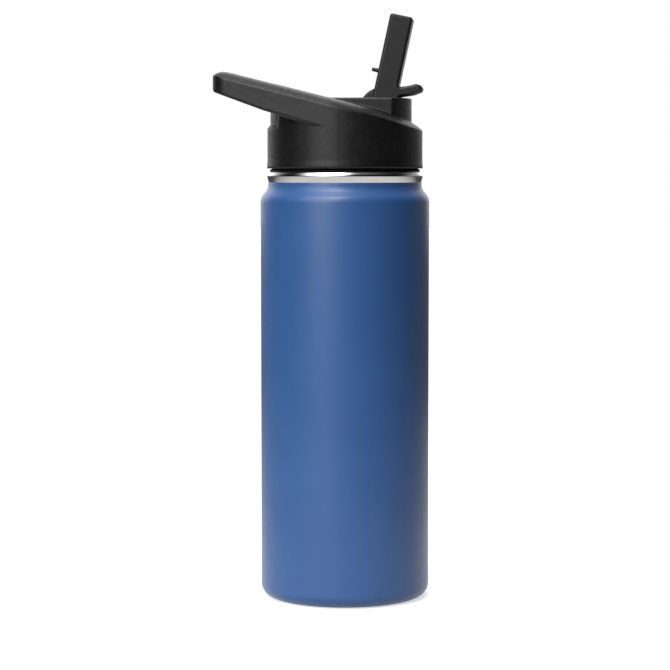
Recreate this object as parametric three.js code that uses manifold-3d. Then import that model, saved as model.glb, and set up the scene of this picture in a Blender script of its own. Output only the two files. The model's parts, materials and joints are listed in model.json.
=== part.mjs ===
// Insulated steel water bottle with a screw-on flip-straw lid.
// Millimetres, +Z up. The origin is the centre of the base, on the surface that the bottle stands on.
// The carry loop points to -X and the open spout leans to +X.

import * as THREE from 'three';
import { mergeVertices } from 'three/addons/utils/BufferGeometryUtils.js';
import Module from 'manifold-3d';

const wasm = await Module();
wasm.setup();

// ---- driving dimensions ------------------------------------------------------------------------

const GAP = 0.3;                // clearance between neighbouring pieces
const WALL = 0.5;               // steel wall
const ROUND = 48;               // facets round a large turned piece
const ROUND_SMALL = 20;         // facets round a small turned piece

const BODY_R = 36.5;            // painted body
const FOOT_R = 5.5;             // corner radius at the foot
const SHOULDER_Z = 170.5;       // where the straight wall ends
const NECK_R = 33.2;            // painted neck
const PAINT_Z = 180.1;          // top of the painted neck
const LIP_Z = 184.6;            // top of the bare steel lip
const LIP_R = 33.8;             // widest radius of the rolled lip
const MOUTH_R = 29.1;           // inside of the neck
const LINER_R = 33.6;           // outside of the inner wall
const LINER_Z = 9;              // underside of the inner bottom

const THREAD_PITCH = 4;
const THREAD_DEPTH = 1.1;
const THREAD_Z = 175;           // start of the neck's thread, at angle 0

const SKIRT_Z = 186.1;          // bottom edge of the lid
const SKIRT_R = 33.5;           // lid outline radius
const STEP_R = 32.5;            // the wall under the loop, set back from the skirt
const STEP_TOP_Z = 204.8;
const EDGE_Z = 211.43;          // height of the lid's upper edge at x = 0
const EDGE_SLOPE = 0.2537;      // its fall towards +X
const TOP_Z = 214.9;            // height of the lid's sloping top at x = 0
const TOP_SLOPE = 0.242;        // its fall towards +X
const TOP_INSET = 5;            // width of the bevel between edge and top
const DECK_Z = 216.1;           // level deck that holds the spout
const DECK_R = 28.8;
const DECK_HALF = 19;           // the deck's flat sides
const CEILING_Z = 198.5;        // inside of the lid's top

const LOOP_END = -54.9;         // far edge of the carry loop
const LOOP_TAPER = 9;           // degrees that each arm closes in
const LOOP_BAR = 7;             // width of the bar across the loop's end
const LOOP_ARM = 9;             // width of each arm

const PIVOT_X = 16.2;           // spout hinge axis, along Y
const PIVOT_Z = 211.3;
const SPOUT_LEAN = 12.1;        // degrees past vertical when open
const SPOUT_LENGTH = 41;        // from the hinge axis to the mouth end
const SPOUT_DEPTH = 9.9;
const SPOUT_WIDTH = 14;
const HUB_R = 9.6;
const CHANNEL_R = 2.6;
const PIN_R = 1.5;
const TROUGH_HALF = SPOUT_WIDTH / 2 + 0.6;
const TROUGH_Z = 205.2;
const STRAW_X = 14.2;           // where the open spout's channel leaves the hub

const PLUG_R = 27.6;
const PLUG_BORE_R = 25.8;
const PLUG_Z = 166.5;           // bottom of the threaded plug
const FLANGE_Z = 187.3;         // underside of the plug's flange
const FLANGE_R = 31.3;
const STRAW_TUBE_R = 5.6;       // tubes that stand in the plug
const VENT_TUBE_R = 5;

// ---- materials ---------------------------------------------------------------------------------

const finish = (color, roughness, metalness) => () =>
  new THREE.MeshStandardMaterial({ color, roughness, metalness });

const bluePaint = finish(0x2f5a9a, 0.45, 0.2);
const polishedSteel = finish(0xd0cdca, 0.12, 1);
const bareSteel = finish(0xa9a9a8, 0.35, 1);
const blackPlastic = finish(0x222222, 0.55, 0);
const blackSilicone = finish(0x101010, 0.75, 0);
const clearSilicone = finish(0xd8dcdc, 0.6, 0);
const clearPlastic = finish(0xe6e9ea, 0.35, 0);
const foam = finish(0xf0ead8, 0.95, 0);
const solderGlass = finish(0x4a4238, 0.3, 0);
const getterMetal = finish(0x6a6a66, 0.8, 0.6);

// ---- geometry helpers --------------------------------------------------------------------------

const degrees = (angle) => THREE.MathUtils.degToRad(angle);

// Points on a circle's arc, both ends included.
function arc(x, y, radius, from, to, steps) {
  const points = [];
  for (let i = 0; i <= steps; i++) {
    const angle = degrees(from + ((to - from) * i) / steps);
    points.push([x + radius * Math.cos(angle), y + radius * Math.sin(angle)]);
  }
  return points;
}

// A closed mesh with shared vertices, no collapsed triangles and its faces pointing out.
function closed(geometry) {
  geometry.deleteAttribute('normal');
  geometry.deleteAttribute('uv');
  const merged = mergeVertices(geometry, 1e-4);
  const index = merged.index.array;
  const position = merged.attributes.position;
  const corners = [new THREE.Vector3(), new THREE.Vector3(), new THREE.Vector3()];
  const kept = [];
  let volume = 0;
  for (let i = 0; i < index.length; i += 3) {
    const [a, b, c] = [index[i], index[i + 1], index[i + 2]];
    if (a === b || b === c || c === a) continue;
    kept.push(a, b, c);
    corners.forEach((corner, k) => corner.fromBufferAttribute(position, index[i + k]));
    volume += corners[0].dot(corners[1].cross(corners[2]));
  }
  merged.setIndex(volume < 0 ? kept.reverse() : kept);
  return merged;
}

function solid(geometry) {
  const mesh = closed(geometry);
  return new wasm.Manifold(new wasm.Mesh({
    numProp: 3,
    vertProperties: new Float32Array(mesh.attributes.position.array),
    triVerts: new Uint32Array(mesh.index.array),
  }));
}

function surface(manifold) {
  const mesh = manifold.getMesh();
  const geometry = new THREE.BufferGeometry();
  geometry.setAttribute('position', new THREE.BufferAttribute(mesh.vertProperties, 3));
  geometry.setIndex(new THREE.BufferAttribute(mesh.triVerts, 1));
  return geometry;
}

// Turns a profile of [radius, height] points about Z. It ends on the axis or closes on itself.
function turned(profile, segments = ROUND) {
  const onAxis = profile[0][0] === 0;
  const outline = onAxis ? profile : [...profile, profile[0]];
  const points = outline.map(([radius, height]) => new THREE.Vector2(radius, height));
  return new THREE.LatheGeometry(points, segments).rotateX(Math.PI / 2);
}

// Extrudes a plan shape from one height up to another.
function raised(shape, bottom, top, curveSegments = 24) {
  const options = { depth: top - bottom, bevelEnabled: false, curveSegments };
  return new THREE.ExtrudeGeometry(shape, options).translate(0, 0, bottom);
}

// Extrudes a side-view shape, drawn in X and Z, to both sides of the XZ plane.
function across(shape, halfWidth, bevel = 0) {
  const options = {
    depth: 2 * (halfWidth - bevel),
    bevelEnabled: bevel > 0,
    bevelThickness: bevel,
    bevelSize: bevel,
    bevelOffset: -bevel,
    bevelSegments: 1,
  };
  return new THREE.ExtrudeGeometry(shape, options)
    .rotateX(Math.PI / 2)
    .translate(0, halfWidth - bevel, 0);
}

function polygon(points) {
  return new THREE.Shape(points.map(([x, y]) => new THREE.Vector2(x, y)));
}

// A rod along Y, on the spout's hinge axis.
function hingeRod(radius, from, to, segments = ROUND_SMALL) {
  return new THREE.CylinderGeometry(radius, radius, to - from, segments)
    .translate(PIVOT_X, (from + to) / 2, PIVOT_Z);
}

// A vertical rod or tube wall.
function upright(x, radius, bottom, top, segments = ROUND_SMALL) {
  return turned([[0, bottom], [radius, bottom], [radius, top], [0, top]], segments).translate(x, 0, 0);
}

// A right-hand thread ridge on a wall of the given radius: inwards for a nut, outwards for a screw.
// Its ends run down into the wall.
function threadRidge(wallRadius, depth, startAngle, sweep, startZ) {
  const halfRoot = 0.85;
  const halfCrest = 0.4;
  const steps = Math.round(sweep / 10);
  const sunk = -Math.sign(depth) * 0.3;
  const positions = [];
  const indices = [];
  for (let i = 0; i <= steps; i++) {
    const turn = (sweep * i) / steps;
    const angle = degrees(startAngle + turn);
    const z = startZ + (THREAD_PITCH * turn) / 360;
    const fade = Math.min(1, i / 2, (steps - i) / 2);
    const crest = wallRadius + depth * Math.max(fade, 0.05);
    const section = [
      [wallRadius + sunk, -halfRoot],
      [crest, -halfCrest],
      [crest, halfCrest],
      [wallRadius + sunk, halfRoot],
    ];
    for (const [radius, rise] of section) {
      positions.push(radius * Math.cos(angle), radius * Math.sin(angle), z + rise);
    }
  }
  for (let i = 0; i < steps; i++) {
    for (let k = 0; k < 4; k++) {
      const a = 4 * i + k;
      const b = 4 * i + ((k + 1) % 4);
      indices.push(a, b, b + 4, a, b + 4, a + 4);
    }
  }
  const end = 4 * steps;
  indices.push(0, 2, 1, 0, 3, 2);
  indices.push(end, end + 1, end + 2, end, end + 2, end + 3);
  const geometry = new THREE.BufferGeometry();
  geometry.setAttribute('position', new THREE.BufferAttribute(new Float32Array(positions), 3));
  geometry.setIndex(indices);
  return geometry;
}

// ---- bottle ------------------------------------------------------------------------------------

// The body's S-shaped shoulder, from the straight wall up to the neck, moved in by an offset.
function shoulder(offset, bulgeSteps, filletSteps) {
  const bulge = 6.2;
  const fillet = 3.04;
  const swing = 50;
  const reach = bulge + fillet;
  const centreX = BODY_R - bulge;
  const filletX = centreX + reach * Math.cos(degrees(swing));
  const filletZ = SHOULDER_Z + reach * Math.sin(degrees(swing));
  const bulgeArc = arc(centreX, SHOULDER_Z, bulge - offset, 0, swing, bulgeSteps);
  const filletArc = arc(filletX, filletZ, fillet + offset, 180 + swing, 180, filletSteps);
  return [...bulgeArc, ...filletArc.slice(1)];
}

function outerShell() {
  const footX = BODY_R - FOOT_R;
  const outside = [
    [footX - 1, 0],
    ...arc(footX, FOOT_R, FOOT_R, -90, 0, 6),
    ...shoulder(0, 5, 3),
    [NECK_R, PAINT_Z],
  ];
  const inside = [
    [NECK_R - WALL, PAINT_Z],
    ...shoulder(WALL, 3, 2).reverse(),
    ...arc(footX, FOOT_R, FOOT_R - WALL, 0, -90, 3),
    [footX - 1, WALL],
  ];
  return turned([...outside, ...inside]);
}

function neckRing() {
  const inner = MOUTH_R + WALL + GAP;
  const bottom = PAINT_Z + GAP;
  const bead = [
    [LIP_R - 1.3, bottom],
    [LIP_R - 0.5, bottom + 0.7],
    [LIP_R, bottom + 1.9],
    [LIP_R - 0.1, bottom + 2.9],
    [LIP_R - 0.6, LIP_Z - 0.5],
    [LIP_R - 1.3, LIP_Z],
  ];
  return turned([[inner, bottom], ...bead, [inner, LIP_Z]]);
}

// The inner wall: a straight neck with the thread, a shoulder and a straight tube.
function innerLiner() {
  const neck = MOUTH_R + WALL;
  const bottom = LINER_Z + 6 + GAP;
  const bend = 4.5;
  const outside = [
    [LINER_R, bottom],
    ...arc(LINER_R - bend, 157, bend, 0, 55, 3),
    [neck, 166],
    [neck, LIP_Z - GAP],
  ];
  const inside = outside.map(([radius, z]) => [radius - WALL, z]).reverse();
  const ridge = threadRidge(MOUTH_R, -THREAD_DEPTH, 0, 360, THREAD_Z);
  return surface(solid(turned([...outside, ...inside])).add(solid(ridge)));
}

function linerBottom() {
  const corner = 6;
  const outside = arc(LINER_R - corner, LINER_Z + corner, corner, -90, 0, 3);
  const inside = arc(LINER_R - corner, LINER_Z + corner, corner - WALL, 0, -90, 3);
  return turned([[0, LINER_Z], ...outside, ...inside, [0, LINER_Z + WALL]]);
}

// Closes the outer wall. The evacuation hole is in a dimple at its centre.
function outerBase() {
  const flange = WALL + GAP;
  return turned([
    [0.9, 4.6], [2.4, 4.6], [5, 2.6], [28.2, 2.6], [29.2, flange], [32, flange],
    [32, flange + WALL], [29.6, flange + WALL], [28.6, 2.6 + WALL], [5.3, 2.6 + WALL],
    [2.7, 4.6 + WALL], [0.9, 4.6 + WALL],
  ]);
}

function baseCover() {
  return turned([
    [0, 0], [8, 0], [8.8, 0.5], [23, 0.5], [23.8, 0], [27.2, 0], [27.9, 0.7], [27.9, 2.2],
    [27.2, 2.2], [27.2, 1.1], [0, 1.1],
  ]);
}

function vacuumSealBead() {
  return turned([[0, 2.7], [1.4, 2.9], [2, 3.5], [1.9, 4.3], [0, 4.3]], ROUND_SMALL);
}

function getterCup() {
  const top = LINER_Z - GAP;
  return turned([
    [0, top], [6, top], [6, top - 2.6], [5.4, top - 2.6], [5.4, top - 0.6], [0, top - 0.6],
  ], ROUND_SMALL).translate(15, 0, 0);
}

function getterPellet() {
  const top = LINER_Z - 4 * GAP;
  return turned([[0, top], [5, top], [5, top - 1.4], [0, top - 1.4]], ROUND_SMALL).translate(15, 0, 0);
}

// ---- lid ---------------------------------------------------------------------------------------

// Half width of the lid's plan outline along the loop's tapering arms.
function armEdge(x) {
  const taper = degrees(LOOP_TAPER);
  return SKIRT_R * Math.cos(taper) + (x + SKIRT_R * Math.sin(taper)) * Math.tan(taper);
}

function lidOutline() {
  const corner = 6;
  const tangent = Math.PI / 2 + degrees(LOOP_TAPER);
  const endHalf = armEdge(LOOP_END);
  const shape = new THREE.Shape();
  shape.absarc(0, 0, SKIRT_R, -tangent, tangent, false);
  shape.lineTo(LOOP_END + corner, armEdge(LOOP_END + corner));
  shape.quadraticCurveTo(LOOP_END, endHalf, LOOP_END, endHalf - corner);
  shape.lineTo(LOOP_END, corner - endHalf);
  shape.quadraticCurveTo(LOOP_END, -endHalf, LOOP_END + corner, -armEdge(LOOP_END + corner));
  return shape;
}

// The lid's whole outline, deep enough for every part, under its sloping bevelled top.
function lidEnvelope() {
  const depth = 60;
  const bevel = 4;
  const geometry = new THREE.ExtrudeGeometry(lidOutline(), {
    depth,
    bevelThickness: bevel,
    bevelSize: TOP_INSET,
    bevelOffset: -TOP_INSET,
    bevelSegments: 1,
    curveSegments: 40,
  });
  const position = geometry.attributes.position;
  for (let i = 0; i < position.count; i++) {
    const x = position.getX(i);
    const level = position.getZ(i);
    const edge = EDGE_Z - EDGE_SLOPE * x;
    const top = TOP_Z - TOP_SLOPE * x;
    if (level > depth + bevel / 2) position.setZ(i, top);
    else if (level > depth / 2) position.setZ(i, edge);
    else position.setZ(i, level + edge - depth);
  }
  return solid(geometry);
}

// Everything above the loop's underside, as seen from the side.
function aboveUnderside() {
  return solid(across(polygon([
    [-70, 240], [-70, 224.3], [-32.3, 210.4], [-8.8, 203.6], [-8.8, 193], [45, 193], [45, 240],
  ]), 45));
}

function fingerHole() {
  const near = -25;
  const far = LOOP_END + LOOP_BAR;
  const corner = 5;
  const half = (x) => armEdge(x) - LOOP_ARM / Math.cos(degrees(LOOP_TAPER));
  const shape = new THREE.Shape();
  shape.moveTo(near, half(near));
  shape.lineTo(far + corner, half(far + corner));
  shape.quadraticCurveTo(far, half(far), far, half(far) - corner);
  shape.lineTo(far, corner - half(far));
  shape.quadraticCurveTo(far, -half(far), far + corner, -half(far + corner));
  shape.lineTo(near, -half(near));
  const start = Math.atan2(half(near), near);
  shape.absarc(0, 0, STEP_R, -start, -2 * Math.PI + start, true);
  return solid(raised(shape, STEP_TOP_Z, 245, 20));
}

function deckBlock() {
  const side = Math.asin(DECK_HALF / DECK_R);
  const shape = new THREE.Shape();
  shape.moveTo(-14, -DECK_HALF);
  shape.absarc(0, 0, DECK_R, -side, side, false);
  shape.lineTo(-14, DECK_HALF);
  return solid(raised(shape, 201, DECK_Z, 20));
}

// The trough that the folded spout lies in, with a round pocket for its hub.
function spoutTrough() {
  const end = PIVOT_X - SPOUT_LENGTH - 1.7;
  const trough = across(polygon([
    [end, TROUGH_Z], [PIVOT_X, TROUGH_Z], [PIVOT_X, 240], [end, 240],
  ]), TROUGH_HALF);
  const pocketR = HUB_R + 0.6;
  const pocket = hingeRod(pocketR, -TROUGH_HALF, TROUGH_HALF, ROUND);
  const mouth = across(polygon([
    [PIVOT_X - pocketR, PIVOT_Z], [PIVOT_X + pocketR, PIVOT_Z],
    [PIVOT_X + pocketR, 240], [PIVOT_X - pocketR, 240],
  ]), TROUGH_HALF);
  return solid(trough).add(solid(pocket)).add(solid(mouth));
}

function lidCover() {
  const inside = FLANGE_R + GAP;
  const envelope = lidEnvelope();
  const skirt = solid(turned([
    [0, SKIRT_Z], [33.7, SKIRT_Z], [33.8, 187.2], [33.3, 190.5], [33.3, 200], [0, 200],
  ]));
  const core = solid(turned([
    [0, 199], [33.3, 199], [33.3, 203.2], [STEP_R, STEP_TOP_Z], [STEP_R, 240], [0, 240],
  ])).intersect(envelope);
  const slab = envelope.intersect(aboveUnderside());
  const cavity = solid(turned([
    [0, SKIRT_Z - 1], [32.7, SKIRT_Z - 1], [32.7, FLANGE_Z], [inside, FLANGE_Z],
    [inside, CEILING_Z - 1.5], [inside - 1.5, CEILING_Z], [0, CEILING_Z],
  ]));
  const ventHole = solid(upright(0, 4.5, CEILING_Z - 1, TROUGH_Z + 1));
  const strawHole = solid(upright(STRAW_X, 5.9, CEILING_Z - 1, PIVOT_Z));
  const pinHole = solid(hingeRod(PIN_R + GAP, -16.3, 16.3));
  return surface(skirt.add(core).add(slab).add(deckBlock())
    .subtract(cavity).subtract(fingerHole()).subtract(spoutTrough())
    .subtract(ventHole).subtract(strawHole).subtract(pinHole));
}

// The hollow male-threaded plug under the cover, with a tube each for the straw and the vent.
function lidPlug() {
  const floor = PLUG_Z + 2;
  const top = FLANGE_Z + 2;
  const cup = solid(turned([
    [0, PLUG_Z], [PLUG_R - 1.2, PLUG_Z], [PLUG_R, PLUG_Z + 1.2], [PLUG_R, FLANGE_Z],
    [FLANGE_R, FLANGE_Z], [FLANGE_R, top], [PLUG_BORE_R, top], [PLUG_BORE_R, floor], [0, floor],
  ]));
  const ridge = solid(threadRidge(PLUG_R, THREAD_DEPTH, -90, 270, THREAD_Z - 0.75 * THREAD_PITCH));
  const strawTube = solid(upright(STRAW_X, STRAW_TUBE_R, PLUG_Z + 1, 195.2));
  const ventTube = solid(upright(0, VENT_TUBE_R, PLUG_Z + 1, CEILING_Z - GAP));
  const strawBore = solid(upright(STRAW_X, 4, PLUG_Z - 1, 200));
  const ventBore = solid(upright(0, 3.6, PLUG_Z - 1, 200));
  return surface(cup.add(strawTube).add(ventTube).add(ridge).subtract(strawBore).subtract(ventBore));
}

function lidInsulation() {
  const puck = solid(upright(0, PLUG_BORE_R - GAP, PLUG_Z + 2 + GAP, CEILING_Z - GAP, ROUND));
  const strawTube = solid(upright(STRAW_X, STRAW_TUBE_R + GAP, PLUG_Z, 200));
  const ventTube = solid(upright(0, VENT_TUBE_R + GAP, PLUG_Z, 200));
  return surface(puck.subtract(strawTube).subtract(ventTube));
}

function strawAdapter() {
  const bore = 1.7;
  return turned([
    [bore, 154], [2.3, 154], [2.3, 164], [3.7, 164], [3.7, 195.5], [5.4, 195.5], [5.4, 197.9],
    [bore, 197.9],
  ], ROUND_SMALL).translate(STRAW_X, 0, 0);
}

function straw() {
  return turned([[2.6, 14], [3.8, 14], [3.8, 163.7], [2.6, 163.7]], ROUND_SMALL)
    .translate(STRAW_X, 0, 0);
}

// A soft ring under the hub, hollowed to the hub's own curve.
function spoutSeat() {
  const ring = solid(turned([[2.6, 198.2], [5.6, 198.2], [5.6, 205], [2.6, 205]], ROUND_SMALL)
    .translate(STRAW_X, 0, 0));
  return surface(ring.subtract(solid(hingeRod(HUB_R + GAP, -8, 8, ROUND))));
}

function lidGasket() {
  const bottom = LIP_Z + GAP;
  const top = FLANGE_Z - GAP;
  return turned([
    [PLUG_R + GAP, bottom], [32, bottom], [32.4, bottom + 0.35], [31.4, bottom + 1.2], [31.2, top],
    [PLUG_R + GAP, top],
  ]);
}

function ventGrommet() {
  return turned([
    [1.25, 199], [4.2, 199], [4.2, TROUGH_Z - 0.2], [2.6, TROUGH_Z - 0.2], [1.25, TROUGH_Z - 2.6],
  ], ROUND_SMALL);
}

function ventValve() {
  return turned([
    [0.6, 192], [1.4, 192], [2.3, 197.4], [3.2, 197.4], [3.2, 198.7], [1.5, 198.7], [1.5, 197],
  ], ROUND_SMALL);
}

// ---- spout -------------------------------------------------------------------------------------

// A point given beside and along the open spout, in the XZ plane.
function spoutPoint(beside, along) {
  const lean = degrees(SPOUT_LEAN);
  return [
    PIVOT_X + beside * Math.cos(lean) + along * Math.sin(lean),
    PIVOT_Z - beside * Math.sin(lean) + along * Math.cos(lean),
  ];
}

// Hub, mouthpiece and thumb tab in one side view outline, anticlockwise from the hub's left side.
function spoutOutline() {
  const half = SPOUT_DEPTH / 2;
  const lean = -SPOUT_LEAN;
  const hubReach = THREE.MathUtils.radToDeg(Math.acos(half / HUB_R));
  const hub = arc(PIVOT_X, PIVOT_Z, HUB_R, lean + 180 - hubReach, lean + 360 + 42, 16);
  const tab = [
    [24.4, 216.9], [29.8, 217.7], [33.2, 219], [33.7, 220.4], [32.8, 221.7], [31, 222.2],
    [27.3, 221.4], [24.9, 221.4],
  ];
  const end = [
    spoutPoint(half, 14.6), spoutPoint(half, SPOUT_LENGTH - 1), spoutPoint(half - 1, SPOUT_LENGTH),
    spoutPoint(1 - half, SPOUT_LENGTH), spoutPoint(-half, SPOUT_LENGTH - 1),
  ];
  return polygon([...hub, ...tab, ...end]);
}

function spout() {
  const body = solid(across(spoutOutline(), SPOUT_WIDTH / 2, 1));
  const lean = degrees(SPOUT_LEAN);
  const channel = solid(turned([[0, -20], [CHANNEL_R, -20], [CHANNEL_R, 60], [0, 60]], ROUND_SMALL)
    .rotateY(lean).translate(PIVOT_X, 0, PIVOT_Z));
  const [pinX, pinZ] = spoutPoint(-SPOUT_DEPTH / 2, PIVOT_X);
  const ventPin = solid(new THREE.CylinderGeometry(0.75, 0.95, 4.2, 12)
    .rotateZ(Math.PI / 2).translate(-1.1, 0, 0).rotateY(lean).translate(pinX, 0, pinZ));
  const sockets = [-1, 1].map((side) => solid(hingeRod(PIN_R + GAP, side * 3.9, side * 9)));
  return surface(body.add(ventPin).subtract(channel).subtract(sockets[0]).subtract(sockets[1]));
}

function spoutPin(side) {
  return hingeRod(PIN_R, side > 0 ? 4.2 : -16, side > 0 ? 16 : -4.2);
}

// ---- assembly ----------------------------------------------------------------------------------

const bottle = new THREE.Group();

function piece(name, geometry, material) {
  const mesh = new THREE.Mesh(closed(geometry), material());
  mesh.name = name;
  bottle.add(mesh);
}

piece('outer_shell', outerShell(), bluePaint);
piece('neck_ring', neckRing(), polishedSteel);
piece('inner_liner', innerLiner(), bareSteel);
piece('liner_bottom', linerBottom(), bareSteel);
piece('outer_base', outerBase(), bareSteel);
piece('base_cover', baseCover(), bareSteel);
piece('vacuum_seal_bead', vacuumSealBead(), solderGlass);
piece('getter_cup', getterCup(), bareSteel);
piece('getter_pellet', getterPellet(), getterMetal);
piece('lid_gasket', lidGasket(), blackSilicone);
piece('lid_cover', lidCover(), blackPlastic);
piece('lid_plug', lidPlug(), blackPlastic);
piece('lid_insulation', lidInsulation(), foam);
piece('vent_grommet', ventGrommet(), blackSilicone);
piece('vent_valve', ventValve(), clearSilicone);
piece('spout_seat', spoutSeat(), clearSilicone);
piece('straw_adapter', strawAdapter(), blackPlastic);
piece('straw', straw(), clearPlastic);
piece('spout_pin_left', spoutPin(1), bareSteel);
piece('spout_pin_right', spoutPin(-1), bareSteel);
piece('spout', spout(), blackPlastic);

export default bottle;
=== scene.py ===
"""Insulated steel water bottle with a screw-on flip-straw lid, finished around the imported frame."""

import json
import math

import bpy
import numpy as np
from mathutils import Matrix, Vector


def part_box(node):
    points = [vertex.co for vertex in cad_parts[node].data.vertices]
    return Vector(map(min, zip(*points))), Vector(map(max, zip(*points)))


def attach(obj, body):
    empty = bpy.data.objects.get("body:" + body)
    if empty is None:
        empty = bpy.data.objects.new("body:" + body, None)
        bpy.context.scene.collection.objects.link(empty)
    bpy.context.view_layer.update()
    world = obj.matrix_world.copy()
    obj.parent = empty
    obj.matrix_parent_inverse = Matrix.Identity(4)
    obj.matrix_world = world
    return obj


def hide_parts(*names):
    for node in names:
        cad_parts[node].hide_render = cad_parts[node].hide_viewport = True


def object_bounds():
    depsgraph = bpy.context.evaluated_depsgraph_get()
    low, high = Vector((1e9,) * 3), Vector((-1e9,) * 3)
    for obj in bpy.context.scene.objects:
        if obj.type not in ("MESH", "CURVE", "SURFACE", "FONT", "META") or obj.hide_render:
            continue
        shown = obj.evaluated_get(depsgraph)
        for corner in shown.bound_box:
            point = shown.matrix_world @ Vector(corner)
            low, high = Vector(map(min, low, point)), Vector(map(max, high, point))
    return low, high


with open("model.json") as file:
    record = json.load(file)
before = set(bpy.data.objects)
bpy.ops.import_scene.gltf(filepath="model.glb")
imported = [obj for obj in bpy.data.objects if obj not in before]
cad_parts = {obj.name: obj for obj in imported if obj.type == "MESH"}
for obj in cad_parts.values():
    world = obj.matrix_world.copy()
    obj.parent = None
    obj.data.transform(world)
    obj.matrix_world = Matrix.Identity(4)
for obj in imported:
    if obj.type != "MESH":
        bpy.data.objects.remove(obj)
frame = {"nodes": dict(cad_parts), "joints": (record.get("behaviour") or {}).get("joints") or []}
CAD_LOW, CAD_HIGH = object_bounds()

MM = 0.001


def corners(node):
    """A CAD node's lowest and highest corners, in millimetres."""
    low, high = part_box(node)
    return low / MM, high / MM


JOINTS = {joint["name"]: joint for joint in frame["joints"]}

# ---- sizes, in millimetres, from the frame -----------------------------------------------------

WALL = 0.5
BODY_R = corners("outer_shell")[1].x
PAINT_Z = corners("outer_shell")[1].z
NECK_R = 33.2
FOOT_R = 5.5
SHOULDER_Z = 171.75             # where the straight body ends
SHOULDER_R = 4.6                # of the shoulder's bulge, and of the fillet into the neck
SHOULDER_SWING = 38             # degrees that each of the two turns

LIP_R = corners("neck_ring")[1].x
LIP_LOW = PAINT_Z
LIP_Z = corners("neck_ring")[1].z

LINER_R = corners("inner_liner")[1].x
LINER_LOW = corners("inner_liner")[0].z
MOUTH_R = 29.1
LINER_FLOOR = corners("liner_bottom")[0].z

THREAD_PITCH = 4.0
THREAD_DEPTH = 1.1
THREAD_Z = 175.0
THREAD_ROOT, THREAD_CREST = 0.95, 0.35      # half the ridge's width at its root and its crest
THREAD_FADE = 22                # degrees over which the ridge rises at each end

DISH_Z = 2.6                    # the vacuum base's recessed middle, seen from below
DIMPLE_Z = 4.6                  # its evacuation dimple

GASKET_LOW = LIP_Z + 0.06
SKIRT_Z = corners("lid_cover")[0].z
SKIRT_R = 33.5
LOOP_END = corners("lid_cover")[0].x
LOOP_TAPER = math.radians(9)
LOOP_BAR = 7.0
LOOP_ARM = 9.0
EDGE_Z, EDGE_SLOPE = 211.43, 0.2537         # the lid's top edge, and how it falls towards +X
CROWN_HEIGHT, CROWN_REACH = 2.85, 5.2       # the rounded rise from that edge, how far in it goes
UNDERSIDE_Z, UNDERSIDE_SLOPE = 203.6, 0.294
STEP_BACK, STEP_LOW, STEP_RISE = 1.3, 203.3, 1.6
STEP_HALF = (17.5, 20.5)        # half widths between which the step back fades out
DECK_Z, DECK_R, DECK_HALF = 216.1, 28.8, 19.0

PLUG_LOW = corners("lid_plug")[0].z
PLUG_R = 27.6
PLUG_BORE = 25.8
PLUG_FLOOR = 2.0
FLANGE_R = 31.3
FLANGE_Z = 187.3
CEILING_Z = 198.5
CEILING_CHAMFER = 1.5
CAVITY_R = 31.6                 # the lid's hollow, which holds the plug's flange
SEAT_R = 32.7                   # the wider gasket seat below it

PIVOT_X = JOINTS["spout_flip"]["pos_m"][0] / MM
PIVOT_Z = JOINTS["spout_flip"]["pos_m"][2] / MM
LEAN = math.radians(12.1)
SPOUT_LENGTH = 41.0
SPOUT_HALF_DEPTH = 4.95
SPOUT_HALF_WIDTH = corners("spout")[1].y
HUB_R = 9.6
PIN_R = 1.5
PIN_CLEARANCE = 0.3
CHANNEL_R = 2.6
TROUGH_Z = 205.2
TROUGH_CLEARANCE = 0.6
TROUGH_HALF = SPOUT_HALF_WIDTH + TROUGH_CLEARANCE
STRAW_X = (corners("straw")[0].x + corners("straw")[1].x) / 2
STRAW_BORE, STRAW_R = 2.6, 3.8

# ---- camera ------------------------------------------------------------------------------------

CAMERA_DISTANCE = 0.970
CAMERA_HEIGHT = 0.1863
CAMERA_SIDE = 0.0043            # how far the bottle's axis stands right of the view's centre plane
CAMERA_AZIMUTH = math.radians(4.8)
CAMERA_PITCH = math.radians(4.27)
CAMERA_LENS = 120.1


def make_camera():
    data = bpy.data.cameras.new("camera")
    data.lens = CAMERA_LENS
    data.sensor_width = 36
    data.clip_start = 0.05
    camera = bpy.data.objects.new("camera", data)
    bpy.context.scene.collection.objects.link(camera)
    sine, cosine = math.sin(CAMERA_AZIMUTH), math.cos(CAMERA_AZIMUTH)
    camera.location = (
        CAMERA_DISTANCE * sine - CAMERA_SIDE * cosine,
        -CAMERA_DISTANCE * cosine - CAMERA_SIDE * sine,
        CAMERA_HEIGHT,
    )
    camera.rotation_euler = (math.pi / 2 - CAMERA_PITCH, 0, CAMERA_AZIMUTH)
    bpy.context.scene.camera = camera


make_camera()

# ---- turned pieces -----------------------------------------------------------------------------


def rounded(points, steps=6):
    """An outline with its corners rounded. A point is (x, y) or (x, y, radius)."""
    outline = []
    for i, point in enumerate(points):
        here = Vector(point[:2])
        radius = point[2] if len(point) > 2 else 0
        before = Vector(points[i - 1][:2]) - here
        after = Vector(points[(i + 1) % len(points)][:2]) - here
        if not radius or before.length < 1e-6 or after.length < 1e-6:
            outline.append(tuple(here))
            continue
        half = before.angle(after) / 2
        reach = min(radius / math.tan(half), 0.49 * before.length, 0.49 * after.length)
        fit = reach * math.tan(half)
        inward = (before.normalized() + after.normalized()).normalized()
        middle = here + inward * (fit / math.sin(half))
        start = here + before.normalized() * reach - middle
        end = here + after.normalized() * reach - middle
        turn = start.angle_signed(end)
        for k in range(steps + 1):
            angle = -turn * k / steps
            sine, cosine = math.sin(angle), math.cos(angle)
            outline.append((middle.x + start.x * cosine - start.y * sine,
                            middle.y + start.x * sine + start.y * cosine))
    return outline


def arc(x, y, radius, start, end, steps):
    """Points on a circle's arc, in degrees, both ends included."""
    angles = [math.radians(start + (end - start) * i / steps) for i in range(steps + 1)]
    return [(x + radius * math.cos(a), y + radius * math.sin(a)) for a in angles]


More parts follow.
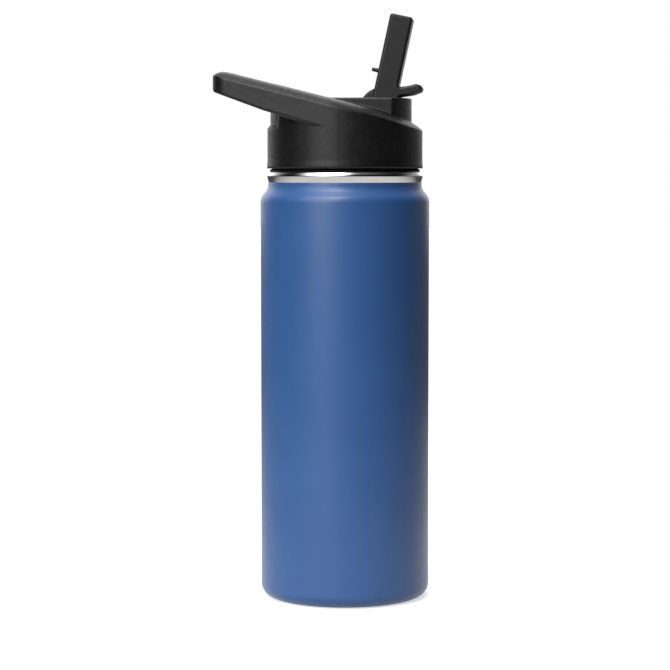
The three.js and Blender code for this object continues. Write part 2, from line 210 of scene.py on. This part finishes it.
def stations(outline, longest, low, high):
    """The outline with its steep stretches between two heights cut into short steps."""
    result = []
    for i, (x, y) in enumerate(outline):
        result.append((x, y))
        next_x, next_y = outline[(i + 1) % len(outline)]
        if min(y, next_y) < high and max(y, next_y) > low and abs(next_x - x) < 0.5:
            count = int(abs(next_y - y) / longest)
            result += [(x + (next_x - x) * k / count, y + (next_y - y) * k / count)
                       for k in range(1, count)]
    return result


def new_piece(name, vertices, faces):
    """A smooth-shaded mesh object from millimetres, in the row frame."""
    mesh = bpy.data.meshes.new(name)
    mesh.from_pydata((np.asarray(vertices, float) * MM).tolist(), [], faces)
    mesh.validate()
    mesh.shade_smooth()
    piece = bpy.data.objects.new(name, mesh)
    bpy.context.scene.collection.objects.link(piece)
    return piece


def turned(name, outline, segments=160, centre_x=0.0, relief=None):
    """Turns a closed outline of (radius, height) round Z.

    relief(radius, angle, height) moves the radius.
    """
    rows = [(max(r, 0.0), z) for r, z in outline]
    angle = np.arange(segments) * 2 * math.pi / segments
    vertices, first, on_axis = [], [], []
    for r, z in rows:
        first.append(len(vertices))
        on_axis.append(r < 1e-6)
        if r < 1e-6:
            vertices.append((centre_x, 0, z))
            continue
        radius = np.full(segments, r) if relief is None else relief(r, angle, z)
        height = np.full(segments, z)
        ring = np.stack([centre_x + radius * np.cos(angle), radius * np.sin(angle), height], 1)
        vertices.extend(map(tuple, ring))
    faces = []
    for i in range(len(rows)):
        j = (i + 1) % len(rows)
        if on_axis[i] and on_axis[j]:
            continue
        for k in range(segments):
            m = (k + 1) % segments
            if on_axis[i]:
                faces.append((first[i], first[j] + m, first[j] + k))
            elif on_axis[j]:
                faces.append((first[i] + k, first[i] + m, first[j]))
            else:
                faces.append((first[i] + k, first[i] + m, first[j] + m, first[j] + k))
    return new_piece(name, vertices, faces)


def thread(wall, depth, start, sweep, low):
    """A relief that raises a right-hand thread ridge on the wall of that radius."""

    def relief(radius, angle, height):
        moved = np.full_like(angle, radius)
        if abs(radius - wall) > 0.05:
            return moved
        base = np.mod(angle - math.radians(start), 2 * math.pi)
        for lap in range(2):
            turn = base + 2 * math.pi * lap
            centre = low + THREAD_PITCH * turn / (2 * math.pi)
            inside = THREAD_ROOT - np.abs(height - centre)
            rise = np.clip(inside / (THREAD_ROOT - THREAD_CREST), 0, 1)
            rise = rise * rise * (3 - 2 * rise)
            ends = np.minimum(turn, math.radians(sweep) - turn)
            moved += depth * rise * np.clip(ends / math.radians(THREAD_FADE), 0, 1)
        return moved

    return relief


# ---- moulded pieces: a smooth surface through a distance field ---------------------------------


def join(a, b, radius):
    """Union with a fillet of that radius."""
    u = np.maximum(radius - a, 0)
    v = np.maximum(radius - b, 0)
    return np.maximum(radius, np.minimum(a, b)) - np.sqrt(u * u + v * v)


def common(a, b, radius):
    """Intersection with its edge rounded to that radius."""
    return -join(-a, -b, radius)


def cut(a, b, radius):
    """a with b cut away, and the new edge rounded to that radius."""
    return -join(-a, b, radius)


def ramp(value, low, high):
    """0 below low, 1 above high, smooth between."""
    t = np.clip((value - low) / (high - low), 0, 1)
    return t * t * (3 - 2 * t)


def polygon_distance(x, y, points):
    """Signed distance to a polygon, negative inside."""
    nearest = np.full(np.broadcast(x, y).shape, 1e9)
    inside = np.zeros(nearest.shape, bool)
    for i, (ax, ay) in enumerate(points):
        bx, by = points[i - 1]
        ex, ey = bx - ax, by - ay
        wx, wy = x - ax, y - ay
        t = np.clip((wx * ex + wy * ey) / (ex * ex + ey * ey), 0, 1)
        nearest = np.minimum(nearest, (wx - ex * t) ** 2 + (wy - ey * t) ** 2)
        if ay != by:
            crosses = ((ay > y) != (by > y)) & (x < (bx - ax) * (y - ay) / (by - ay) + ax)
            inside ^= crosses
    return np.where(inside, -1, 1) * np.sqrt(nearest)


SETTLE_ROUNDS = 3
SETTLE_PROBE = 0.02             # millimetres aside at which the field's slope is measured


def moulded(name, field, low, high, step):
    """The smooth closed surface where field(x, y, z) is 0.

    The surface is found on a grid of that step, and its points are then moved closer to it.
    """
    low, high = Vector(low), Vector(high)
    axes = [np.arange(low[k] - 2 * step, high[k] + 3 * step, step) for k in range(3)]
    grid = np.meshgrid(*axes, indexing="ij", sparse=True)
    value = np.broadcast_to(field(*grid), [len(a) for a in axes])
    shape = value.shape
    strides = np.array([(shape[1] - 1) * (shape[2] - 1), shape[2] - 1, 1])
    cells, points, rings = [], [], []
    for axis in range(3):
        start = [slice(None)] * 3
        end = [slice(None)] * 3
        start[axis], end[axis] = slice(0, -1), slice(1, None)
        a, b = value[tuple(start)], value[tuple(end)]
        edge = np.stack(np.nonzero((a < 0) != (b < 0)), 1)
        va, vb = a[tuple(edge.T)], b[tuple(edge.T)]
        place = np.stack([axes[k][edge[:, k]] for k in range(3)], 1)
        place[:, axis] += step * va / (va - vb)
        second, third = (axis + 1) % 3, (axis + 2) % 3
        around = []
        for back_second, back_third in ((1, 1), (0, 1), (0, 0), (1, 0)):
            cell = edge.copy()
            cell[:, second] -= back_second
            cell[:, third] -= back_third
            around.append(cell @ strides)
            cells.append(around[-1])
            points.append(place)
        ring = np.stack(around, 1)
        ring[va >= 0] = ring[va >= 0][:, ::-1]
        rings.append(ring)
    rings = np.concatenate(rings)
    used, index = np.unique(np.concatenate(cells), return_inverse=True)
    count = np.bincount(index)
    points = np.concatenate(points)
    settled = np.stack([np.bincount(index, points[:, k]) / count for k in range(3)], 1)
    faces = np.searchsorted(used, rings)
    for _ in range(SETTLE_ROUNDS):
        here = field(*settled.T)
        slope = np.empty_like(settled)
        for k in range(3):
            aside = settled.copy()
            aside[:, k] += SETTLE_PROBE
            slope[:, k] = (field(*aside.T) - here) / SETTLE_PROBE
        steep = np.maximum((slope * slope).sum(1), 0.25)
        move = slope * (here / steep)[:, None]
        length = np.maximum(np.linalg.norm(move, axis=1), 1e-9)
        settled -= move * np.minimum(1, 0.4 * step / length)[:, None]
    return new_piece(name, settled, faces.tolist())


# ---- bottle ------------------------------------------------------------------------------------


def shoulder_arcs(offset):
    """The body's S-shaped shoulder with its straight slant, moved in by an offset."""
    swing = math.radians(SHOULDER_SWING)
    slant = BODY_R - NECK_R - 2 * SHOULDER_R * (1 - math.cos(swing))
    fillet_z = SHOULDER_Z + 2 * SHOULDER_R * math.sin(swing) + slant / math.tan(swing)
    bulge = arc(BODY_R - SHOULDER_R, SHOULDER_Z, SHOULDER_R - offset, 0, SHOULDER_SWING, 18)
    fillet = arc(NECK_R + SHOULDER_R, fillet_z, SHOULDER_R + offset, 180 + SHOULDER_SWING, 180, 12)
    return bulge + fillet


def make_outer_shell():
    foot = BODY_R - FOOT_R
    outside = ([(foot - 1, 0.0)] + arc(foot, FOOT_R, FOOT_R, -90, 0, 14)
               + [(BODY_R, 60.0), (BODY_R, 120.0)] + shoulder_arcs(0)
               + arc(NECK_R - 0.15, PAINT_Z - 0.15, 0.15, 0, 90, 3))
    inside = ([(NECK_R - WALL, PAINT_Z)] + shoulder_arcs(WALL)[::-1]
              + [(BODY_R - WALL, 120.0), (BODY_R - WALL, 60.0)]
              + arc(foot, FOOT_R, FOOT_R - WALL, 0, -90, 10) + [(foot - 1, WALL)])
    return turned("painted_shell", outside + inside, 192)


def make_neck_ring():
    inner = MOUTH_R + WALL + 0.05
    low = LIP_LOW + 0.02
    outline = rounded([
        (inner, low), (LIP_R - 0.8, low, 0.15), (LIP_R, LIP_Z - 1.5, 1.2),
        (LIP_R - 0.75, LIP_Z, 0.7), (inner, LIP_Z, 0.2),
    ], 10)
    return turned("rolled_lip", outline, 192)


def make_liner():
    neck = MOUTH_R + WALL
    bend = 4.5
    low = LINER_LOW - 0.25
    outside = ([(LINER_R, low)] + arc(LINER_R - bend, 157, bend, 0, 55, 12)
               + [(neck, 166), (neck, LIP_Z - 0.25)])
    inside = [(r - WALL, z) for r, z in outside][::-1]
    relief = thread(MOUTH_R, -THREAD_DEPTH, 0, 360, THREAD_Z)
    outline = stations(outside + inside, 0.3, 166.5, 183)
    return turned("threaded_liner", outline, 160, relief=relief)


def make_liner_bottom():
    corner = 6
    middle = LINER_R - corner
    outline = ([(0, LINER_FLOOR)] + arc(middle, LINER_FLOOR + corner, corner, -90, 0, 10)
               + arc(middle, LINER_FLOOR + corner, corner - WALL, 0, -90, 10)
               + [(0, LINER_FLOOR + WALL)])
    return turned("liner_dish", outline, 128)


def make_outer_base():
    flange = WALL + 0.3
    outline = rounded([
        (0.9, DIMPLE_Z), (2.4, DIMPLE_Z, 0.8), (5, DISH_Z, 0.8), (28.2, DISH_Z, 0.6),
        (29.2, flange, 0.6), (32, flange),
        (32, flange + WALL), (29.6, flange + WALL, 0.3), (28.6, DISH_Z + WALL, 0.3),
        (5.3, DISH_Z + WALL, 0.4), (2.7, DIMPLE_Z + WALL, 0.4), (0.9, DIMPLE_Z + WALL),
    ])
    return turned("vacuum_base", outline, 128)


def make_base_cover():
    outline = rounded([
        (0, 0), (8, 0, 0.8), (8.8, 0.5, 0.8), (23, 0.5, 0.8), (23.8, 0, 0.8), (27.1, 0, 0.5),
        (27.9, 0.7, 0.5), (27.9, 2.2), (27.2, 2.2), (27.2, 1.1, 0.3), (0, 1.1),
    ])
    return turned("foot_disc", outline, 128)


# ---- lid ---------------------------------------------------------------------------------------


def arm_edge(x):
    """Half width of the lid's plan along the loop's tapering arms."""
    start = SKIRT_R * math.sin(LOOP_TAPER)
    return SKIRT_R * math.cos(LOOP_TAPER) + (x + start) * math.tan(LOOP_TAPER)


def plan_distance(x, y):
    """Signed distance to the lid's plan outline: the round skirt with the tapering loop."""
    side = (np.abs(y) - arm_edge(x)) * math.cos(LOOP_TAPER)
    loop = common(side, LOOP_END - x, 6.5)
    loop = np.maximum(loop, x + SKIRT_R * math.sin(LOOP_TAPER))
    return np.minimum(loop, np.hypot(x, y) - SKIRT_R)


def top_height(x, depth):
    """Height of the lid's sloping crowned top, depth being how far in from the outline it is."""
    front = ramp(x, 16, 32)
    crown = 1 - (1 - np.clip(depth / CROWN_REACH, 0, 1)) ** 1.7
    crown = CROWN_HEIGHT * crown * (1 - 0.24 * front)
    swell = 0.4 * ramp(depth, 4, 10)
    return EDGE_Z - EDGE_SLOPE * x + 0.12 - 0.68 * front + crown + swell


def underside_height(x):
    """Height of the carry loop's underside, which rises a little faster past the skirt."""
    return UNDERSIDE_Z - UNDERSIDE_SLOPE * (x + 8.8) + 0.07 * np.maximum(-32.3 - x, 0)


def skirt_radius(x, y, z):
    """The skirt's slight flare at its foot, and the step back between the loop's arms."""
    flare = 0.15 * (1 - ramp(z, 187.2, 190))
    between = 1 - ramp(np.abs(y), *STEP_HALF)
    inside_loop = np.maximum(between, ramp(z - underside_height(x), 0, 1))
    step_back = STEP_BACK * np.clip((z - STEP_LOW) / STEP_RISE, 0, 1) * inside_loop
    return SKIRT_R + flare - step_back


def finger_hole_distance(x, y):
    half = arm_edge(x) - LOOP_ARM / math.cos(LOOP_TAPER)
    side = (np.abs(y) - half) * math.cos(LOOP_TAPER)
    hole = common(side, LOOP_END + LOOP_BAR - x, 5.5)
    return common(np.maximum(hole, x + 20), 32.5 - np.hypot(x, y), 2.2)


def trough_distance(x, y, z):
    """The trough for the folded spout, with its hub's round pocket."""
    side = np.abs(y) - TROUGH_HALF
    end = PIVOT_X - SPOUT_LENGTH - 1.7
    bed = common(np.maximum(end - x, x - PIVOT_X), TROUGH_Z - z, 0.8)
    reach = HUB_R + TROUGH_CLEARANCE
    hub = np.hypot(x - PIVOT_X, z - PIVOT_Z) - reach
    above = np.maximum(np.abs(x - PIVOT_X) - reach, PIVOT_Z - z)
    return common(np.minimum(bed, np.minimum(hub, above)), side, 0.6)


def lid_field(x, y, z):
    radius = np.hypot(x, y)
    plan = plan_distance(x, y)
    top = (z - top_height(x, -plan)) * 0.84
    envelope = common(plan, top, 0.35)
    skirt = np.maximum(common(radius - skirt_radius(x, y, z), SKIRT_Z - z, 0.4), top)
    slab = common(envelope, (underside_height(x) - z) * 0.95, 0.9)
    slab = cut(slab, finger_hole_distance(x, y), 1.3)
    lid = np.minimum(skirt, slab)
    sides = common(radius - DECK_R, np.abs(y) - DECK_HALF, 0.35)
    block = common(sides, z - DECK_Z, 0.45)
    block = np.maximum(block, np.maximum(-14 - x, 200 - z))
    lid = join(lid, block, 0.5)
    lid = cut(lid, trough_distance(x, y, z), 0.45)
    slant = (radius - CAVITY_R + z - CEILING_Z + CEILING_CHAMFER) * 0.707
    cavity = common(radius - CAVITY_R, np.maximum(z - CEILING_Z, slant), 0.3)
    seat = np.maximum(radius - SEAT_R, z - FLANGE_Z)
    lid = cut(lid, np.minimum(cavity, seat), 0.2)
    vent = np.maximum(radius - 4.5, np.abs(z - 202) - 4)
    straw_hole = np.maximum(np.hypot(x - STRAW_X, y) - 5.9, np.abs(z - 202) - 5)
    pins = np.hypot(x - PIVOT_X, z - PIVOT_Z) - PIN_R - PIN_CLEARANCE
    pins = np.maximum(pins, np.abs(y) - 16.3)
    return cut(lid, np.minimum(np.minimum(vent, straw_hole), pins), 0.25)


def make_lid_cover(step):
    low, high = corners("lid_cover")
    return moulded("lid_shell", lid_field, low, high, step)


def make_gasket():
    top = FLANGE_Z - 0.05
    outline = rounded([
        (PLUG_R + 0.3, GASKET_LOW), (32.5, GASKET_LOW, 0.35), (32.4, GASKET_LOW + 0.8, 0.4),
        (31.5, GASKET_LOW + 1.5, 0.4), (FLANGE_R, top, 0.2), (PLUG_R + 0.3, top),
    ])
    return turned("lid_seal", outline, 160)


def make_plug():
    top = FLANGE_Z + 2
    outline = rounded([
        (0, PLUG_LOW), (PLUG_R, PLUG_LOW, 1.4), (PLUG_R, FLANGE_Z, 0.2),
        (FLANGE_R, FLANGE_Z, 0.3), (FLANGE_R, top), (PLUG_BORE, top),
        (PLUG_BORE, PLUG_LOW + PLUG_FLOOR, 1.0), (0, PLUG_LOW + PLUG_FLOOR),
    ])
    relief = thread(PLUG_R, THREAD_DEPTH, -90, 270, THREAD_Z - 0.75 * THREAD_PITCH)
    outline = stations(outline, 0.3, 168, 186)
    return turned("threaded_plug", outline, 160, relief=relief)


def make_straw():
    low, high = corners("straw")
    outline = rounded([
        (STRAW_BORE, low.z, 0.3), (STRAW_R, low.z, 0.3),
        (STRAW_R, high.z, 0.3), (STRAW_BORE, high.z, 0.3),
    ], 3)
    return turned("straw_tube", outline, 48, centre_x=STRAW_X)


def make_grommet():
    low, high = corners("vent_grommet")
    outline = rounded([
        (1.25, low.z), (4.2, low.z), (4.2, high.z, 0.5), (2.7, high.z, 0.3),
        (1.25, high.z - 2.4, 0.5),
    ])
    return turned("vent_ring", outline, 64)


# ---- spout -------------------------------------------------------------------------------------

HUB_HALF_WIDTH = 5.4
TAB = [
    (21.0, 214.5), (24.4, 216.9), (29.8, 217.7), (33.2, 219.0), (33.7, 220.4), (32.8, 221.7),
    (31.0, 222.2), (27.3, 221.3), (21.0, 220.6),
]


def spout_field(x, y, z):
    beside = (x - PIVOT_X) * math.cos(LEAN) - (z - PIVOT_Z) * math.sin(LEAN)
    along = (x - PIVOT_X) * math.sin(LEAN) + (z - PIVOT_Z) * math.cos(LEAN)
    width = np.abs(y) - SPOUT_HALF_WIDTH
    body = common(np.abs(beside) - SPOUT_HALF_DEPTH, along - SPOUT_LENGTH, 1.1)
    body = np.maximum(body, -along)
    tab = polygon_distance(x + 0 * z, z + 0 * x, TAB) - 0.05
    spout = common(join(body, tab, 1.3), width, 1.0)
    hub = np.hypot(beside, along) - HUB_R
    hub = common(hub, np.abs(y) - HUB_HALF_WIDTH, 0.6)
    spout = join(spout, hub, 0.4)
    pin = np.hypot(along - PIVOT_X, y) - 0.95 - 0.05 * (beside + SPOUT_HALF_DEPTH)
    pin = common(pin, -beside - SPOUT_HALF_DEPTH - 3.2, 0.35)
    spout = join(spout, np.maximum(pin, beside), 0.3)
    channel = np.hypot(beside, y) - CHANNEL_R
    mouth = np.hypot(beside, np.maximum(np.abs(y) - 1.6, 0)) - CHANNEL_R
    mouth = np.maximum(mouth, SPOUT_LENGTH - 6 - along)
    sockets = np.hypot(beside, along) - PIN_R - PIN_CLEARANCE
    sockets = np.maximum(sockets, np.abs(np.abs(y) - 6.4) - 2.5)
    return cut(spout, np.minimum(join(channel, mouth, 0.6), sockets), 0.5)


def make_spout(step):
    low, high = corners("spout")
    return moulded("spout_shell", spout_field, low, high, step)


# ---- materials ---------------------------------------------------------------------------------


class Nodes:
    """Adds nodes to a tree. An input is a value or another node's output."""

    def __init__(self, tree):
        self.tree = tree

    def node(self, kind, inputs=(), **settings):
        made = self.tree.nodes.new(kind)
        for key, value in settings.items():
            setattr(made, key, value)
        for key, value in dict(inputs).items():
            if isinstance(value, bpy.types.NodeSocket):
                self.tree.links.new(value, made.inputs[key])
            else:
                made.inputs[key].default_value = value
        return made

    def math(self, operation, a, b=0.0, c=0.0):
        return self.node("ShaderNodeMath", {0: a, 1: b, 2: c}, operation=operation).outputs[0]

    def vector(self, operation, a, b):
        return self.node("ShaderNodeVectorMath", {0: a, 1: b}, operation=operation)


class Finish(Nodes):
    """A Principled material whose colour, roughness and relief vary by noise in the row frame."""

    def __init__(self, name, **sockets):
        self.material = bpy.data.materials.new(name)
        self.material.use_nodes = True
        super().__init__(self.material.node_tree)
        self.shader = next(n for n in self.tree.nodes if n.type == "BSDF_PRINCIPLED")
        for socket, value in sockets.items():
            self.shader.inputs[socket.replace("_", " ")].default_value = value
        self.place = self.node("ShaderNodeTexCoord").outputs["Object"]

    def noise(self, size, detail=2.0, stretch=(1, 1, 1)):
        """Noise with grains about size metres across, longer along axes with a stretch under 1."""
        place = self.node("ShaderNodeMapping", {"Vector": self.place, "Scale": stretch}).outputs[0]
        inputs = {"Vector": place, "Scale": 1 / size, "Detail": detail}
        return self.node("ShaderNodeTexNoise", inputs).outputs["Fac"]

    def remap(self, value, low, high, to_low, to_high):
        inputs = {"Value": value, "From Min": low, "From Max": high,
                  "To Min": to_low, "To Max": to_high}
        return self.node("ShaderNodeMapRange", inputs).outputs["Result"]

    def blend(self, factor, a, b):
        made = self.node("ShaderNodeMix", {"Factor": factor}, data_type="RGBA")
        for socket, value in ((made.inputs[6], a), (made.inputs[7], b)):
            if isinstance(value, bpy.types.NodeSocket):
                self.tree.links.new(value, socket)
            else:
                socket.default_value = (*value, 1)
        return made.outputs[2]

    def height(self, axis="Z"):
        return self.node("ShaderNodeSeparateXYZ", {0: self.place}).outputs[axis]

    def bump(self, value, depth, previous=None):
        inputs = {"Height": value, "Distance": depth, "Strength": 1.0}
        if previous is not None:
            inputs["Normal"] = previous
        return self.node("ShaderNodeBump", inputs).outputs[0]

    def use(self, **sockets):
        for socket, value in sockets.items():
            self.tree.links.new(value, self.shader.inputs[socket.replace("_", " ")])
        return self.material


def powder_coat():
    look = Finish("blue_powder_coat", Coat_Weight=0.5, Coat_Roughness=0.2, Specular_IOR_Level=0.45)
    cloud = look.noise(0.03)
    grain = look.noise(0.00055, 3)
    colour = look.blend(look.remap(cloud, 0.3, 0.7, 0, 1),
                        (0.031, 0.110, 0.322), (0.036, 0.121, 0.345))
    colour = look.blend(look.remap(grain, 0.62, 0.8, 0, 0.35), colour, (0.07, 0.18, 0.44))
    colour = look.blend(look.remap(grain, 0.4, 0.25, 0, 0.3), colour, (0.02, 0.085, 0.27))
    scuff = look.math("MULTIPLY", look.remap(look.height(), 0.0035, 0.0004, 0, 1),
                      look.remap(look.noise(0.0025), 0.52, 0.62, 0, 0.5))
    colour = look.blend(scuff, colour, (0.12, 0.15, 0.22))
    rough = look.remap(look.noise(0.004), 0.3, 0.7, 0.42, 0.5)
    relief = look.bump(grain, 0.00006, look.bump(look.noise(0.006), 0.00007))
    return look.use(Base_Color=colour, Roughness=rough, Normal=relief)


def polished_steel():
    look = Finish("polished_steel", Metallic=1.0)
    streak = look.noise(0.0015, 3, (0.15, 0.15, 6))
    colour = look.blend(look.noise(0.01), (0.90, 0.88, 0.86), (0.96, 0.94, 0.92))
    rough = look.remap(streak, 0.35, 0.7, 0.07, 0.16)
    return look.use(Base_Color=colour, Roughness=rough, Normal=look.bump(streak, 0.000004))


def satin_steel():
    look = Finish("satin_steel", Metallic=1.0)
    streak = look.noise(0.0009, 4, (0.12, 0.12, 5))
    colour = look.blend(look.noise(0.012), (0.44, 0.435, 0.42), (0.56, 0.555, 0.54))
    rough = look.remap(streak, 0.3, 0.7, 0.26, 0.42)
    return look.use(Base_Color=colour, Roughness=rough, Normal=look.bump(streak, 0.00001))


def lid_plastic(name, seam):
    """Satin black moulding.

    With seam it has the lid's parting line down each side and the fine groove over the loop, with
    painted shade darkening the groove's colour.
    """
    look = Finish(name, Specular_IOR_Level=0.5)
    colour = look.blend(look.noise(0.008), (0.0035, 0.0035, 0.0036), (0.0055, 0.0055, 0.0056))
    grain = look.noise(0.00035, 3)
    rough = look.remap(look.noise(0.002, 4), 0.3, 0.7, 0.36, 0.47)
    relief = look.bump(look.noise(0.004), 0.00006, look.bump(grain, 0.000022))
    if seam:
        x, y, z = (look.height(axis) for axis in "XYZ")
        side = look.math("GREATER_THAN", look.math("ABSOLUTE", y), 0.0318)
        line = look.remap(look.math("ABSOLUTE", x), 0.0001, 0.00022, 1, 0)
        line = look.math("MULTIPLY", line, side)
        colour = look.blend(look.math("MULTIPLY", line, 0.5), colour, (0.03, 0.03, 0.03))
        relief = look.bump(line, 0.00012, relief)
        edge = look.math("MULTIPLY_ADD", x, EDGE_SLOPE, -EDGE_Z * MM)
        above = look.math("ADD", z, edge)
        away = look.math("ABSOLUTE", look.math("SUBTRACT", above, 0.0009))
        groove_and_shade = look.remap(away, 0.0001, 0.0003, 1, 0)
        groove_and_shade = look.math("MULTIPLY", groove_and_shade, look.remap(x, -0.0045, -0.0035, 1, 0))
        # Painted shade: the groove's colour is darkened towards black; the bump below gives its real
        # dent.
        colour = look.blend(look.math("MULTIPLY", groove_and_shade, 0.8), colour, (0.001, 0.001, 0.001))
        relief = look.bump(look.math("MULTIPLY", groove_and_shade, -1.0), 0.0002, relief)
    return look.use(Base_Color=colour, Roughness=rough, Normal=relief)


def soft_rubber(name, dark, light, **sockets):
    look = Finish(name, **sockets)
    colour = look.blend(look.noise(0.003), dark, light)
    rough = look.remap(look.noise(0.001, 3), 0.3, 0.7, 0.55, 0.75)
    relief = look.bump(look.noise(0.0004), 0.00002)
    return look.use(Base_Color=colour, Roughness=rough, Normal=relief)


def grainy(name, dark, light, size, depth, **sockets):
    look = Finish(name, **sockets)
    grain = look.noise(size, 4)
    colour = look.blend(look.remap(grain, 0.35, 0.65, 0, 1), dark, light)
    rough = look.remap(grain, 0.3, 0.7, 0.35, 0.8)
    return look.use(Base_Color=colour, Roughness=rough, Normal=look.bump(grain, depth))


def milky_plastic():
    look = Finish("milky_plastic", Transmission_Weight=0.25, IOR=1.49)
    colour = look.blend(look.noise(0.01), (0.82, 0.86, 0.88), (0.92, 0.95, 0.96))
    rough = look.remap(look.noise(0.002, 3), 0.3, 0.7, 0.22, 0.36)
    relief = look.bump(look.noise(0.0012), 0.000008)
    return look.use(Base_Color=colour, Roughness=rough, Normal=relief)


PAINT = powder_coat()
POLISHED = polished_steel()
SATIN = satin_steel()
LID_BLACK = lid_plastic("moulded_black_lid", True)
PART_BLACK = lid_plastic("moulded_black", False)
SEAL_BLACK = soft_rubber(
    "black_silicone", (0.002, 0.002, 0.002), (0.004, 0.004, 0.004), Specular_IOR_Level=0.15)
SEAL_CLEAR = soft_rubber(
    "clear_silicone", (0.66, 0.69, 0.69), (0.78, 0.81, 0.81), Subsurface_Weight=0.2)
STRAW_PLASTIC = milky_plastic()
FOAM = grainy("foam", (0.70, 0.66, 0.55), (0.86, 0.83, 0.74), 0.0012, 0.0003)
SOLDER = grainy(
    "solder_glass", (0.05, 0.04, 0.03), (0.12, 0.10, 0.08), 0.0008, 0.00006, Coat_Weight=0.6)
GETTER = grainy(
    "getter_powder", (0.09, 0.09, 0.085), (0.2, 0.2, 0.19), 0.0004, 0.00008, Metallic=0.4)

# ---- pieces on their bodies --------------------------------------------------------------------


def finish_piece(piece, material, body, node):
    """Gives a new piece its material and its body, and hides the CAD node it stands for."""
    piece.data.materials.append(material)
    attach(piece, body)
    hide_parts(node)


finish_piece(make_outer_shell(), PAINT, "bottle", "outer_shell")
finish_piece(make_neck_ring(), POLISHED, "bottle", "neck_ring")
finish_piece(make_liner(), SATIN, "bottle", "inner_liner")
finish_piece(make_liner_bottom(), SATIN, "bottle", "liner_bottom")
finish_piece(make_outer_base(), SATIN, "bottle", "outer_base")
finish_piece(make_base_cover(), SATIN, "bottle", "base_cover")
finish_piece(make_gasket(), SEAL_BLACK, "seals", "lid_gasket")
finish_piece(make_grommet(), SEAL_BLACK, "seals", "vent_grommet")
finish_piece(make_lid_cover(0.5), LID_BLACK, "lid", "lid_cover")
finish_piece(make_plug(), PART_BLACK, "lid", "lid_plug")
finish_piece(make_straw(), STRAW_PLASTIC, "lid", "straw")
finish_piece(make_spout(0.4), PART_BLACK, "spout", "spout")

KEPT_NODES = {
    "vacuum_seal_bead": SOLDER,
    "getter_cup": SATIN,
    "getter_pellet": GETTER,
    "lid_insulation": FOAM,
    "vent_valve": SEAL_CLEAR,
    "spout_seat": SEAL_CLEAR,
    "straw_adapter": PART_BLACK,
    "spout_pin_left": SATIN,
    "spout_pin_right": SATIN,
}


def keep_nodes():
    """The small inner CAD parts stay as they are, with better materials."""
    for node, material in KEPT_NODES.items():
        data = frame["nodes"][node].data
        data.materials.clear()
        data.materials.append(material)


keep_nodes()

# ---- studio ------------------------------------------------------------------------------------

FLOOR_HALF = 6.0
FLOOR_GLOW = 0.6                # to the camera
FLOOR_SHINE = 0.55              # to mirror rays near the bottle


def make_floor():
    """A pale floor that glows to the camera and lights the bottle as a dark one.

    To rays of mirror reflection it also glows near the bottle.
    """
    half = FLOOR_HALF
    mesh = bpy.data.meshes.new("floor")
    mesh.from_pydata([(-half, -half, 0), (half, -half, 0), (half, half, 0), (-half, half, 0)],
                     [], [(0, 1, 2, 3)])
    floor = bpy.data.objects.new("floor", mesh)
    bpy.context.scene.collection.objects.link(floor)
    floor.location.z = CAD_LOW.z - 0.0002
    look = Finish("studio_floor", Roughness=0.9, Specular_IOR_Level=0.0,
                  Emission_Color=(1, 1, 1, 1))
    path = look.node("ShaderNodeLightPath")
    seen, mirrored = path.outputs["Is Camera Ray"], path.outputs["Is Glossy Ray"]
    pale = look.blend(look.noise(0.4), (0.92, 0.92, 0.92), (0.94, 0.94, 0.94))
    near = look.vector("LENGTH", look.place, (0, 0, 0)).outputs["Value"]
    away = look.remap(near, 0.12, 0.32, 0, 1)
    dim = look.blend(away, (0.36, 0.36, 0.36), (0.06, 0.06, 0.06))
    colour = look.blend(seen, dim, pale)
    shine = look.math("MULTIPLY", mirrored, look.remap(near, 0.42, 0.9, FLOOR_SHINE, 0))
    glow = look.math("ADD", look.math("MULTIPLY", seen, FLOOR_GLOW), shine)
    mesh.materials.append(look.use(Base_Color=colour, Emission_Strength=glow))


# White light by direction: degrees right of the camera as seen from the bottle, degrees up,
# sharpness, strength.
SOFT_LIGHTS = [
    (-35, 8, 30, 3.6),
    (-20, 8, 30, 1.5),
    (-50, 32, 30, 2.6),
    (-50, 56, 30, 4.0),
    (-18, 60, 60, 9),
    (-18, 36, 60, 8),
    (120, 5, 20, 0.3),
    (160, 6, 20, 0.9),
    (-150, 6, 12, 1.2),
    (180, 45, 10, 2.1),
    (180, 8, 4, 0.3),
    (0, 85, 8, 0.5),
]


def make_world():
    """A white backdrop to look at, and soft lights all round for the bottle and the floor."""
    world = bpy.data.worlds.new("studio")
    bpy.context.scene.world = world
    world.use_nodes = True
    look = Nodes(world.node_tree)
    way = look.node("ShaderNodeTexCoord").outputs["Generated"]
    total = 0.0
    for right, up, sharpness, strength in SOFT_LIGHTS:
        turn = math.radians(right - 90) + CAMERA_AZIMUTH
        rise = math.radians(up)
        level = math.cos(rise)
        towards = (level * math.cos(turn), level * math.sin(turn), math.sin(rise))
        facing = look.vector("DOT_PRODUCT", way, towards).outputs["Value"]
        facing = look.math("MAXIMUM", facing, 0.0)
        glow = look.math("MULTIPLY", look.math("POWER", facing, sharpness), strength)
        total = look.math("ADD", total, glow)
    soft = look.node("ShaderNodeBackground", {"Color": total}).outputs[0]
    white = look.node("ShaderNodeBackground", {"Color": (1, 1, 1, 1)}).outputs[0]
    seen = look.node("ShaderNodeLightPath").outputs["Is Camera Ray"]
    mixed = look.node("ShaderNodeMixShader", {0: seen, 1: soft, 2: white}).outputs[0]
    output = next(n for n in look.tree.nodes if n.type == "OUTPUT_WORLD")
    look.tree.links.new(mixed, output.inputs["Surface"])


make_floor()
make_world()
bpy.context.scene.view_settings.view_transform = "Standard"
